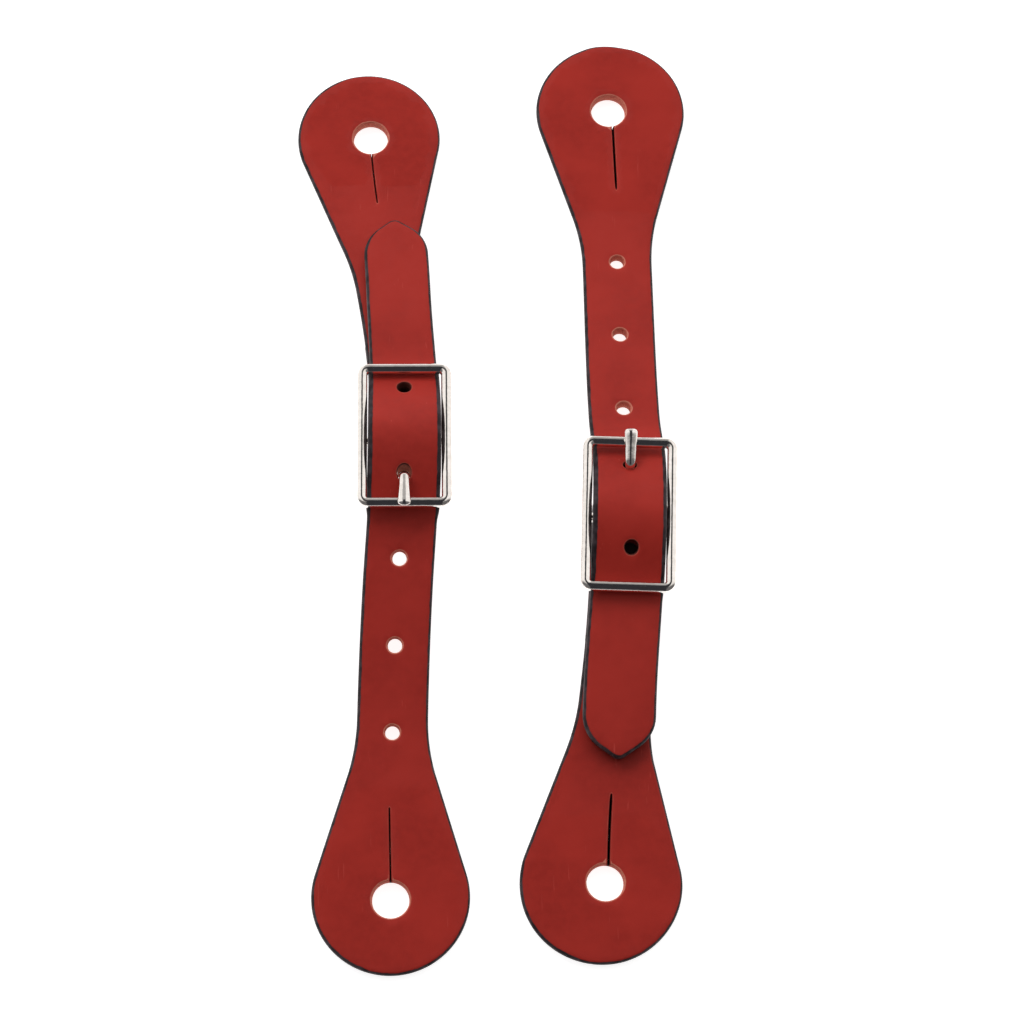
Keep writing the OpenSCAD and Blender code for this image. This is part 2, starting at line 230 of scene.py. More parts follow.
def billet_half(s):
    """The billet's right half, from its head at -Y to the tail's tip."""
    head = BILLET_HEADS[s]
    w = (STRAP_W + WIDER[s]) / 2
    tail = w - TAIL_NARROW[s]
    r = HEAD_R + head[1]
    half = [(x, y - head[0]) for x, y in head_half(r, w)]
    half += [(w, y) for y in span(neck(r, w) - head[0] + 1.5, 0, 64)]
    half += [(w - TAIL_NARROW[s] * ease(y / 40), y) for y in span(1.5, shoulder_y(s, tail) - 1.2, 34)]
    half += arc((tail - SHOULDER_R, shoulder_y(s, tail)), SHOULDER_R, 0, 90 - TIP_ANGLE, 8)
    nose = arc((0, TAIL_REACH[s] - NOSE_R), NOSE_R, 90 - TIP_ANGLE, 90, 4)
    a, b = half[-1], nose[0]
    half += [(a[0] + (b[0] - a[0]) * t, a[1] + (b[1] - a[1]) * t) for t in (0.25, 0.5, 0.75)]
    return half + nose


def buckle_half(s):
    """The buckle strap's right half, from its head at +Y through the fold to the end of the return."""
    head = BUCKLE_HEADS[s]
    w = (STRAP_W + WIDER[s]) / 2
    r = HEAD_R + head[1]
    half = [(x, head[0] - y) for x, y in head_half(r, w)]
    end = -FOLD_L - RETURN_END
    half += [(w, y) for y in span(head[0] - neck(r, w) - 1.5, end + RETURN_R + 1, 70)]
    corner = arc((w - RETURN_R, end + RETURN_R), RETURN_R, 0, -90, 5)
    return half + corner + [(w * 0.4, end)]


def both_halves(half):
    """A closed outline from its right half, which starts and ends near the centre line."""
    left = [(-x, y) for x, y in reversed(half) if x > 0.01]
    return half + left


# Undersides and thicknesses, seen from the side


def lap_z(y):
    """Underside of the buckle strap."""
    return curve(LAP_KNOTS, y)


def lap_t(y):
    """Thickness of the buckle strap, which is skived at the fold."""
    return SKIVED_T + (LEATHER_T - SKIVED_T) * ease(y / SKIVE_END)


def billet_z(y):
    """Underside of the billet, which lies on the buckle strap behind the bar."""
    return curve(BILLET_KNOTS, y) if y < 20 else lap_z(y) + TAIL_LIFT


def return_top(y):
    """Top of the return, close under the buckle strap."""
    return lap_z(y) - RETURN_GAP - max(0, 1 - y / 14) * (2 * FOLD_IN - RETURN_GAP)


def return_t(y):
    """Thickness of the return."""
    return SKIVED_T + (RETURN_T - SKIVED_T) * ease(y / SKIVE_END)


def lay(s):
    """The matrix from a strap's own frame, in millimetres, to the shared frame, in metres."""
    joint = JOINTS[SIDES[s] + "_frame_rock"]
    ax = joint["axis"]
    at = joint["pos_m"]
    turn = math.atan2(ax[1], ax[0])
    return Matrix.Translation((at[0], at[1], 0)) @ Matrix.Rotation(turn, 4, "Z") @ Matrix.Scale(M, 4)


def billet_place(s):
    """A function that lays a point of the flat billet: u across, y along and h, a share of the thickness,
    above its middle. The drop is how far the rounding of an edge has lowered the surface there."""
    swell = (FRAME_MID[0] - RAIL_W / 2 - GRIP_GAP) / ((STRAP_W + WIDER[s]) / 2) - 1

    def place(u, y, h, drop):
        x, along = bent(BILLET_DRIFTS[s], u * (1 + swell * in_buckle(y)), y)
        tilt = math.atan(billet_z(along + 0.5) - billet_z(along - 0.5))
        t = LEATHER_T * math.cos(tilt)
        up = h * (t - 2 * drop * t / LEATHER_T)
        mid = billet_z(along) + LEATHER_T / 2
        return x, along - math.sin(tilt) * up, mid + math.cos(tilt) * up

    return place


def buckle_place(s):
    """The same for the buckle strap, which folds round the bar and comes back underneath."""

    def place(u, y, h, drop):
        if y >= 0:
            x, along = bent(BUCKLE_DRIFTS[s], u, y)
            t = lap_t(along)
            tilt = math.atan(lap_z(along + 0.5) - lap_z(along - 0.5)) * ease(along / 6)
            up = h * (t - 2 * drop * t / LEATHER_T) * math.cos(tilt)
            mid = lap_z(along) + t / 2
            return x, along - math.sin(tilt) * up, mid + math.cos(tilt) * up
        if y > -FOLD_L:
            turn = -y / FOLD_L * math.pi
            r = FOLD_IN + SKIVED_T / 2 + h * (SKIVED_T - 2 * drop * SKIVED_T / LEATHER_T)
            return u, -math.sin(turn) * r, BAR_Z + math.cos(turn) * r
        back = -y - FOLD_L
        x, along = bent(BUCKLE_DRIFTS[s], u, back)
        t = return_t(back)
        up = -h * (t - 2 * drop * t / LEATHER_T)
        return x, along, return_top(along) - t / 2 + up

    return place


# Meshes of the leather


def area(loop):
    return sum(a[0] * b[1] - b[0] * a[1] for a, b in zip(loop, loop[1:] + loop[:1])) / 2


def tidy_loop(loop):
    """The closed loop without points that repeat the one before."""
    return [p for i, p in enumerate(loop) if math.dist(p, loop[i - 1]) > 0.01]


def inset(loop, d, into):
    """The loop moved by d towards the leather: inwards for the outline, outwards for a hole."""
    way = (1 if area(loop) > 0 else -1) * into * d
    out = []
    for i, p in enumerate(loop):
        a, b = loop[i - 1], loop[(i + 1) % len(loop)]
        reach = math.dist(a, b) or 1
        out.append((p[0] - (b[1] - a[1]) / reach * way, p[1] + (b[0] - a[0]) / reach * way))
    return out


def within(points, loop):
    """Which of the points lie inside the loop."""
    x, y = points[:, 0], points[:, 1]
    hit = np.zeros(len(points), bool)
    for a, b in zip(loop, loop[1:] + loop[:1]):
        if a[1] == b[1]:
            continue
        crosses = (a[1] > y) != (b[1] > y)
        hit ^= crosses & (x < (b[0] - a[0]) * (y - a[1]) / (b[1] - a[1]) + a[0])
    return hit


def nearest(points, loop):
    """The way from each point to the loop."""
    way = np.full(points.shape, 1e9)
    best = np.full(len(points), 1e9)
    for a, b in zip(loop, loop[1:] + loop[:1]):
        a, b = np.array(a), np.array(b)
        run = b - a
        t = np.clip((points - a) @ run / max(run @ run, 1e-12), 0, 1)
        to = a + t[:, None] * run - points
        far = np.linalg.norm(to, axis=1)
        way[far < best] = to[far < best]
        best = np.minimum(best, far)
    return way


def distance(points, loop):
    """How far each point lies from the loop."""
    return np.linalg.norm(nearest(points, loop), axis=1)


def rounded(d, r):
    """How far the surface lies below the flat at a distance d from an edge of radius r."""
    return r - np.sqrt(np.maximum(r * r - np.maximum(r - d, 0) ** 2, 0))


# Rings of points along an edge, and the radius of its rounding
EDGE_STEPS = (0, 0.08, 0.26, 0.58, 1.05)
EDGE_R = 1.0
HOLE_STEPS = (0, 0.1, 0.3)
HOLE_EDGE_R = 0.32
# Rings of points round the spot of painted shade, as shares of its radius
SHADE_SPOT_RINGS = (0.5, 1, 1.3)
# Spacing of the points between them, in staggered rows
GRID = 1.9
ROW = GRID * 0.866
# The furthest distance from an edge that the materials are told
FAR = 3.0
# How far the underside is cut back from the outline, and how a hole's wall leans in and away
UNDERCUT = 0.55
HOLE_TAPER = 0.12
HOLE_LEAN = 0.3
# How far from a slit and from a hole the leather still gives way
SLIT_GIVE = 2.2
HOLE_GIVE = 1.5


def edge_rings(outline, holes):
    """Points in rings along the outline and the holes, and the edges that join them."""
    points, edges = [], []
    for loop, steps, into in [(outline, EDGE_STEPS, 1)] + [(h, HOLE_STEPS, -1) for h in holes]:
        for d in steps:
            start = len(points)
            points += inset(loop, d, into)
            edges += [(start + i, start + (i + 1) % len(loop)) for i in range(len(loop))]
    return points, edges


def staggered(outline):
    """Points in staggered rows over the outline's box."""
    low, high = np.min(outline, axis=0), np.max(outline, axis=0)
    rows = int((high[1] - low[1]) / ROW) + 1
    columns = int((high[0] - low[0]) / GRID) + 1
    return np.array(
        [
            (low[0] + (i + (j % 2) / 2) * GRID, low[1] + (j + 0.5) * ROW)
            for j in range(rows)
            for i in range(columns)
        ]
    )


def filled(outline, holes, spot):
    """Flat points and triangles that fill the outline except for its holes."""
    points, edges = edge_rings(outline, holes)
    grid = staggered(outline)
    keep = within(grid, outline) & (distance(grid, outline) > EDGE_STEPS[-1] + GRID * 0.4)
    for h in holes:
        keep &= ~within(grid, h) & (distance(grid, h) > HOLE_STEPS[-1] + GRID * 0.3)
    if spot:
        keep &= np.linalg.norm(grid - spot[0], axis=1) > spot[1] + 1.6
        for ring in SHADE_SPOT_RINGS:
            points += circle(spot[0], spot[1] * ring, 16)
        points.append(tuple(spot[0]))
    points += [tuple(p) for p in grid[keep]]
    made = geometry.delaunay_2d_cdt([Vector(p) for p in points], edges, [], 0, 1e-5)
    flat = np.array([tuple(p) for p in made[0]])
    tris = np.array(made[2])
    centres = flat[tris].mean(axis=1)
    keep = within(centres, outline)
    for h in holes:
        keep &= ~within(centres, h)
    tris = tris[keep]
    a, b, c = (flat[tris[:, i]] for i in range(3))
    turned = (b[:, 0] - a[:, 0]) * (c[:, 1] - a[:, 1]) < (b[:, 1] - a[:, 1]) * (c[:, 0] - a[:, 0])
    tris[turned] = tris[turned][:, [0, 2, 1]]
    used = np.unique(tris)
    new = np.full(len(flat), -1)
    new[used] = np.arange(len(used))
    return flat[used], new[tris]


def slit_moves(flat, slit):
    """How far each point is from the slit, and how the grain side opens and the flesh side closes."""
    start, end, opened = np.array(slit[0]), np.array(slit[1]), slit[2]
    run = end - start
    share = np.clip((flat - start) @ run / (run @ run), 0, 1)
    aside = flat - start - share[:, None] * run
    far = np.linalg.norm(aside, axis=1)
    away = aside / np.maximum(far, 1e-6)[:, None]
    give = np.clip(1 - far / SLIT_GIVE, 0, 1)
    half_open = opened / 2 * np.clip((1.02 - share) / 0.12, 0, 1) ** 0.5
    return far, away * (half_open * give**2)[:, None], -away * (SLIT_W / 2 * give)[:, None]


def undercut_moves(flat, outline, rim, ink):
    """How the flesh side is cut back along the outline: by less where the edge paint isn't thinned."""
    inwards = nearest(flat, inset(outline, EDGE_STEPS[-1], 1))
    thinned = np.array([min(max(-ink(0, p[1]) / 0.1, 0), 1) for p in flat])
    depth = UNDERCUT * (0.25 + 0.75 * thinned)
    return (np.where(rim < EDGE_STEPS[-1], 1, 0) * depth / EDGE_STEPS[-1])[:, None] * inwards


def hole_moves(flat, rounds, to_world):
    """How the flesh side is drawn in at the round holes, and shifted towards +Y of the shared frame."""
    away = np.array(to_world.inverted().to_3x3() @ Vector((0, M, 0)))[:2]
    moves = np.zeros(flat.shape)
    for centre, radius in rounds:
        off = flat - np.array(centre)
        far = np.maximum(np.linalg.norm(off, axis=1), 1e-6)
        pull = np.clip(1 - (far - radius) / HOLE_GIVE, 0, 1)[:, None]
        moves += pull * (away * HOLE_LEAN - off / far[:, None] * HOLE_TAPER)
    return moves


def walled(tris, count):
    """Faces of the grain side, of the flesh side that lies count points on, and of the walls between."""
    tris = tris.tolist()
    sides = {}
    for t in tris:
        for i in range(3):
            sides[(t[i], t[(i + 1) % 3])] = True
    faces = [tuple(t) for t in tris]
    faces += [(t[0] + count, t[2] + count, t[1] + count) for t in tris]
    faces += [(i, i + count, j + count, j) for i, j in sides if (j, i) not in sides]
    return faces


def leather(name, outline, holes, place, to_world, slit, rounds, ink, spot=None):
    """A solid leather of the given outline and holes, with rounded edges, laid by place().

    The slit, (start, end, how wide it lies open), is cut as a fine line and spread at the top. The
    rounds, (centre, radius), are holes that taper downwards; ink(u, y) is how much wider the edge
    paint is; the spot, (centre, radius), gets painted shade, a dark patch.
    """
    outline = tidy_loop(outline)
    holes = [tidy_loop(h) for h in holes]
    flat, tris = filled(outline, holes, spot)
    rim = distance(flat, outline)
    cut = np.min([distance(flat, h) for h in holes], axis=0)
    drop = np.maximum(rounded(rim, EDGE_R), rounded(cut, HOLE_EDGE_R))
    from_slit, opening, closing = slit_moves(flat, slit)
    over = flat + opening
    under = flat + closing + undercut_moves(flat, outline, rim, ink) + hole_moves(flat, rounds, to_world)
    verts = [
        to_world @ Vector(place(p[0], p[1], side, d))
        for side, sheet in ((0.5, over), (-0.5, under))
        for p, d in zip(sheet, drop)
    ]
    mesh = bpy.data.meshes.new(name)
    mesh.from_pydata(verts, [], walled(tris, len(flat)))
    mesh.validate()
    rim, cut, from_slit = (np.minimum(far, FAR) for far in (rim, cut, from_slit))
    from_spot = np.linalg.norm(flat - spot[0], axis=1) - spot[1] if spot else np.full(len(flat), FAR)
    for key, values in (
        ("rim", np.tile(rim, 2)),
        ("cut", np.tile(cut, 2)),
        ("slit", np.tile(from_slit, 2)),
        ("back", np.repeat([0.0, 1.0], len(flat))),
        ("ink", np.tile([ink(*p) for p in flat], 2)),
        ("spot", np.tile(from_spot, 2)),
    ):
        mesh.attributes.new(key, "FLOAT", "POINT").data.foreach_set("value", values.astype(np.float32))
    mesh.polygons.foreach_set("use_smooth", [True] * len(mesh.polygons))
    return show(name, mesh, LEATHER_LOOK)


def show(name, mesh, material):
    mesh.materials.append(material)
    mesh.update()
    obj = bpy.data.objects.new(name, mesh)
    bpy.context.scene.collection.objects.link(obj)
    return obj


def circle(at, r, n=30):
    return arc(at, r, 0, 360 - 360 / n, n - 1)


def stadium(at, half_l, r, n=10):
    return arc((at[0], at[1] + half_l), r, 0, 180, n) + arc((at[0], at[1] - half_l), r, 180, 360, n)


def button_hole(head, way):
    return head[2], way * (head[0] + head[6])


def slit_ends(head, way):
    return (head[3], way * (head[0] - 0.6 * BUTTON_R)), (head[4], way * (head[0] - head[5]))


def keyhole(head, way):
    """A head's button hole and its slit, as one loop."""
    centre = np.array(button_hole(head, way))
    start, end = (np.array(p) for p in slit_ends(head, way))
    reach = np.linalg.norm(end - start)
    along = (end - start) / reach
    left = np.array([-along[1], along[0]])

    def leaves(w):
        """Where a side of the slit leaves the hole."""
        p = start + left * w - centre
        b = p @ along
        return -b + math.sqrt(b * b - p @ p + BUTTON_R**2)

    def half_slit(t):
        """Half the slit's width, which narrows over its last stretch."""
        return SLIT_W / 2 * (1 - 0.4 * ease((t / reach - 0.7) / 0.3))

    def side(w, first, last):
        return [tuple(start + along * t + left * w * half_slit(t)) for t in span(first, last, 24)]

    near_l, near_r = leaves(SLIT_W / 2), leaves(-SLIT_W / 2)
    first = start + along * near_l + left * half_slit(0)
    last = start + along * near_r - left * half_slit(0)
    a = math.degrees(math.atan2(*(first - centre)[::-1]))
    b = math.degrees(math.atan2(*(last - centre)[::-1]))
    loop = arc(tuple(centre), BUTTON_R, a, b + (360 if b < a else 0), 44)
    loop += side(-1, near_r, reach)[1:] + [tuple(end + along * 0.12)] + side(1, reach, near_l)[:-1]
    return loop


# Meshes of the metal


def section(w, low, high, power=2.05, n=28):
    """A rounded section w wide, from low to high, as [across, up]: flatter below than above."""
    out = []
    for i in range(n):
        t = 2 * math.pi * i / n
        c, k = math.cos(t), math.sin(t)
        p = power if k > 0 else power + 1.6
        half = (high - low) * 0.5
        across = math.copysign(abs(c) ** (2 / p), c) * w / 2
        out.append((across, low + half + math.copysign(abs(k) ** (2 / p), k) * half))
    return out


def skin(rings, closed):
    """Faces between rings of points that all have the same number, with caps if the sweep is open."""
    verts = [p for ring in rings for p in ring]
    n = len(rings[0])
    faces = []
    for i in range(len(rings) - (0 if closed else 1)):
        a, b = i * n, (i + 1) % len(rings) * n
        faces += [(a + k, a + (k + 1) % n, b + (k + 1) % n, b + k) for k in range(n)]
    if not closed:
        for ring, flip in ((0, False), (len(rings) - 1, True)):
            centre = sum((Vector(p) for p in rings[ring]), Vector()) / n
            verts.append(centre)
            c = len(verts) - 1
            ids = [ring * n + k for k in range(n)]
            for k in range(n):
                pair = (ids[k], ids[(k + 1) % n])
                faces.append((c, pair[0], pair[1]) if flip else (c, pair[1], pair[0]))
    return verts, faces


def metal(name, shells, to_world):
    """One piece from several closed shells."""
    verts, faces = [], []
    for v, f in shells:
        start = len(verts)
        verts += [to_world @ Vector(p) for p in v]
        faces += [tuple(i + start for i in face) for face in f]
    mesh = bpy.data.meshes.new(name)
    mesh.from_pydata(verts, [], faces)
    mesh.validate()
    tidy = bmesh.new()
    tidy.from_mesh(mesh)
    bmesh.ops.recalc_face_normals(tidy, faces=tidy.faces)
    tidy.to_mesh(mesh)
    tidy.free()
    mesh.polygons.foreach_set("use_smooth", [True] * len(mesh.polygons))
    return show(name, mesh, NICKEL_LOOK)


def domed_rod(a, b, radius_x, radius_y, across, up, dome):
    """A rod from a to b with rounded ends; across and up are the directions of its section."""
    along = (b - a).normalized()
    length = (b - a).length
    stations = [dome * (1 - math.cos(rad(t))) for t in (12, 32, 52, 72, 90)]
    stations = stations + [length - x for x in reversed(stations)]
    rings = []
    for x in stations:
        near = min(x, length - x)
        k = math.sqrt(max(1 - ((dome - min(near, dome)) / dome) ** 2, 0))
        centre = a + along * x
        rings.append(
            [
                centre + across * (radius_x * k * math.cos(rad(t))) + up * (radius_y * k * math.sin(rad(t)))
                for t in range(0, 360, 15)
            ]
        )
    return skin(rings, False)


def frame_path(x, y, step=2.2):
    """Points round a frame with half sides x and y, each with the direction that faces outwards."""
    r = FRAME_CORNER
    turns = []
    for cx, cy, start in ((x, y, 0), (-x, y, 90), (-x, -y, 180), (x, -y, 270)):
        inner = (cx - math.copysign(r, cx), cy - math.copysign(r, cy))
        facing = span(start, start + 90, 12)
        turns += [(p, rad(t)) for p, t in zip(arc(inner, r, start, start + 90, 12), facing)]
    path = []
    for (p, t), (q, u) in zip(turns, turns[1:] + turns[:1]):
        n = max(1, int(math.dist(p, q) / step))
        turn = (u - t + math.pi) % (2 * math.pi) - math.pi
        for i in range(n):
            at = (p[0] + (q[0] - p[0]) * i / n, p[1] + (q[1] - p[1]) * i / n)
            path.append((at, t + turn * i / n))
    return path


def buckle(s, to_world):
    """The frame with rounded rails, its ears and the centre bar."""
    pitch = math.atan((BACK_BAR_Z - FRONT_BAR_Z) / (2 * FRAME_MID[1]))
    seat = Matrix.Translation((0, 0, BAR_Z)) @ Matrix.Rotation(pitch, 4, "X")
    lift = (FRONT_BAR_Z + BACK_BAR_Z) / 2 - BAR_Z
    x = FRAME_MID[0]
    rail = section(RAIL_W, 0, RAIL_H)
    rings = []
    for (px, py), t in frame_path(x, FRAME_MID[1] + FRAME_STRETCH[s]):
        across = Vector((math.cos(t), math.sin(t), 0))
        rings.append([seat @ (Vector((px, py, lift)) + across * a + Vector((0, 0, b))) for a, b in rail])
    shells = [skin(rings, True)]
    for side in (-1, 1):
        top = seat @ Vector((side * x, 0, lift + RAIL_H * 0.6))
        foot = seat @ Vector((side * x, 0, -BAR_R - 0.3))
        shells.append(domed_rod(foot, top, RAIL_W / 2, EAR_R, Vector((1, 0, 0)), Vector((0, 1, 0)), 1.4))
    ends = [seat @ Vector((side * x, 0, 0)) for side in (-1, 1)]
    shells.append(domed_rod(*ends, BAR_R, BAR_R, Vector((0, 1, 0)), Vector((0, 0, 1)), 0.2))
    return metal(f"{SIDES[s]}_buckle", shells, to_world)


def rounded_path(corners, radii, step=0.45):
    """Points along straight runs whose corners are rounded."""
    out = [corners[0]]
    for i in range(1, len(corners) - 1):
        p, a, b = (np.array(corners[k]) for k in (i, i - 1, i + 1))
        u, v = (a - p) / np.linalg.norm(a - p), (b - p) / np.linalg.norm(b - p)
        half = math.acos(np.clip(u @ v, -1, 1)) / 2
        reach = radii[i - 1] / math.tan(half)
        centre = p + (u + v) / np.linalg.norm(u + v) * radii[i - 1] / math.sin(half)
        first, last = p + u * reach - centre, p + v * reach - centre
        sweep = math.pi - 2 * half
        for t in np.linspace(0, 1, 9):
            w = (np.sin((1 - t) * sweep) * first + np.sin(t * sweep) * last) / np.sin(sweep)
            out.append(tuple(centre + w))
    out.append(corners[-1])
    dense = []
    for p, q in zip(out, out[1:]):
        n = max(1, int(math.dist(p, q) / step))
        dense += [(p[0] + (q[0] - p[0]) * i / n, p[1] + (q[1] - p[1]) * i / n) for i in range(n)]
    return dense + [out[-1]]


def tongue_path(s):
    """The middle of the tongue's strip, seen from the side, from the end of its wrap to its tip."""
    wrap_r = BAR_R + WRAP_GAP + WRAP_T / 2
    wrap = arc((0, BAR_Z), wrap_r, WRAP_FROM, WRAP_TO, 40)
    slope = rad(WRAP_TO + 90)
    run = (wrap[-1][1] - SHANK_Z) / -math.sin(slope)
    knee = (wrap[-1][0] + math.cos(slope) * run, SHANK_Z)
    rise = rad(FINGER_RISE)
    bend = (RISER_Y[s] - BEND_R, RISER_TOP)
    crest = (RISER_Y[s], RISER_TOP + BEND_R * math.tan((math.pi / 2 - rise) / 2))
    on = (bend[0] + BEND_R * math.sin(rise), bend[1] + BEND_R * math.cos(rise))
    finger_l = (on[0] - FINGER_REACH[s]) / math.cos(rise)
    tip = (on[0] - math.cos(rise) * finger_l, on[1] + math.sin(rise) * finger_l)
    corners = [wrap[-1], knee, (RISER_Y[s], SHANK_Z), crest, tip]
    return wrap[:-1] + rounded_path(corners, [KNEE_R, BEND_R, BEND_R])


def tongue(s, to_world):
    """A round-edged strip: wrapped round the bar, along under the leather, up through it and over the bar."""
    path = tongue_path(s)
    reach = [0.0]
    for p, q in zip(path, path[1:]):
        reach.append(reach[-1] + math.dist(p, q))
    wrapped = (BAR_R + WRAP_GAP + WRAP_T / 2) * rad(WRAP_TO - WRAP_FROM)
    rings = []
    for i, p in enumerate(path):
        a, b = path[max(i - 1, 0)], path[min(i + 1, len(path) - 1)]
        d = Vector((0, b[0] - a[0], b[1] - a[1])).normalized()
        normal = Vector((0, -d.z, d.y))
        thick = WRAP_T + (TONGUE_T - WRAP_T) * ease((reach[i] - wrapped) / 3)
        # it is slimmer behind the tip, and wide and flat where the leather hides it
        to_tip = reach[-1] - reach[i]
        hidden = ease((to_tip - 13.5) / 3)
        waist = 1.16 - 0.20 * ease(to_tip / 7.5) - 0.06 * ease((to_tip - 8) / 2) + 0.5 * hidden
        nose = math.sqrt(max(1 - max(1 - to_tip / 1.25, 0) ** 2, 0.002))
        tail = math.sqrt(max(1 - max(1 - reach[i] / 0.5, 0) ** 2, 0.002))
        wide = TONGUE_W * waist * (0.35 + 0.65 * nose) * (0.7 + 0.3 * tail)
        deep = thick * nose * tail
        shape = section(wide, -deep / 2, deep / 2, 2.1 + 3 * hidden, 24)
        rings.append([Vector((x, p[0], p[1])) - normal * z for x, z in shape])
    return metal(f"{SIDES[s]}_tongue_strip", [skin(rings, False)], to_world)


# Procedural materials


def nodes_of(material):
    material.use_nodes = True
    tree = material.node_tree
    return tree, tree.nodes["Principled BSDF"]


class Maker:
    """Short names for building node trees."""

    def __init__(self, tree):
        self.tree = tree

    def add(self, kind, **values):
        node = self.tree.nodes.new(kind)
        for key, value in values.items():
            setattr(node, key, value)
        return node

    def link(self, a, b):
        self.tree.links.new(a, b)

    def put(self, socket, value):
        if isinstance(value, bpy.types.NodeSocket):
            self.link(value, socket)
        else:
            socket.default_value = value

    def maths(self, operation, a, b=0.0, clamp=False):
        node = self.add("ShaderNodeMath", operation=operation, use_clamp=clamp)
        self.put(node.inputs[0], a)
        self.put(node.inputs[1], b)
        return node.outputs[0]

    def mix(self, share, a, b):
        node = self.add("ShaderNodeMix", data_type="RGBA")
        self.put(node.inputs[0], share)
        self.put(node.inputs[6], a)
        self.put(node.inputs[7], b)
        return node.outputs[2]

    def ramp(self, value, low, high, to_low=0.0, to_high=1.0):
        node = self.add("ShaderNodeMapRange", interpolation_type="SMOOTHSTEP")
        self.put(node.inputs[0], value)
        for i, x in enumerate((low, high, to_low, to_high)):
            node.inputs[i + 1].default_value = x
        return node.outputs[0]

    def coordinates(self, scale, turn=0.0):
        """Positions in the shared frame, scaled: 1000 gives one unit a millimetre."""
        where = self.add("ShaderNodeTexCoord").outputs["Object"]
        node = self.add("ShaderNodeMapping")
        self.link(where, node.inputs[0])
        node.inputs["Scale"].default_value = scale
        node.inputs["Rotation"].default_value = (0, 0, turn)
        return node.outputs[0]

    def noise(self, where, scale, detail=2.0, rough=0.5, distortion=0.0):
        node = self.add("ShaderNodeTexNoise")
        self.link(where, node.inputs["Vector"])
        node.inputs["Scale"].default_value = scale
        node.inputs["Detail"].default_value = detail
        node.inputs["Roughness"].default_value = rough
        node.inputs["Distortion"].default_value = distortion
        return node.outputs["Fac"]

    def attribute(self, name):
        return self.add("ShaderNodeAttribute", attribute_name=name).outputs["Fac"]

    def bump(self, height, strength, distance_m, normal=None):
        node = self.add("ShaderNodeBump")
        node.inputs["Strength"].default_value = strength
        node.inputs["Distance"].default_value = distance_m
        self.link(height, node.inputs["Height"])
        if normal is not None:
            self.link(normal, node.inputs["Normal"])
        return node.outputs["Normal"]


# One texture unit a millimetre
MM = (1000, 1000, 1000)
GRAIN = (0.365, 0.0228, 0.0152, 1)
GRAIN_DEEP = (0.295, 0.0170, 0.0114, 1)
GRAIN_PALE = (0.450, 0.0480, 0.0350, 1)
# A near-black of painted shade, for the hole walls inside the buckle, the slits' gaps and the spot under the
# back hole
PAINTED_SHADE = (0.018, 0.006, 0.005, 1)
EDGE = (0.014, 0.010, 0.012, 1)
EDGE_WORN = (0.055, 0.041, 0.047, 1)
# The lightest edge grey is part rubbed wear and part painted highlight on the edge's outermost wall
EDGE_WEAR_AND_SHEEN = (0.120, 0.095, 0.100, 1)
RAW = (0.620, 0.235, 0.165, 1)
RAW_PALE = (0.700, 0.300, 0.210, 1)
FLESH = (0.235, 0.060, 0.042, 1)
FLESH_PALE = (0.330, 0.120, 0.085, 1)
NICKEL = (0.950, 0.915, 0.880, 1)
NICKEL_DULL = (0.840, 0.800, 0.755, 1)


def scratch_marks(m, mm):
    """Fine marks in three directions, in patches."""
    marks = None
    for turn, stretch, level in ((0.25, 0.045, 0.705), (-0.6, 0.06, 0.72), (1.25, 0.05, 0.715)):
        streak = m.noise(m.coordinates((1000, 1000 * stretch, 1000), turn), 1.6, 2, 0.5, 0.15)
        line = m.ramp(streak, level, level + 0.035)
        marks = line if marks is None else m.maths("MAXIMUM", marks, line)
    return m.maths("MULTIPLY", marks, m.ramp(m.noise(mm, 0.07, 2), 0.5, 0.62))


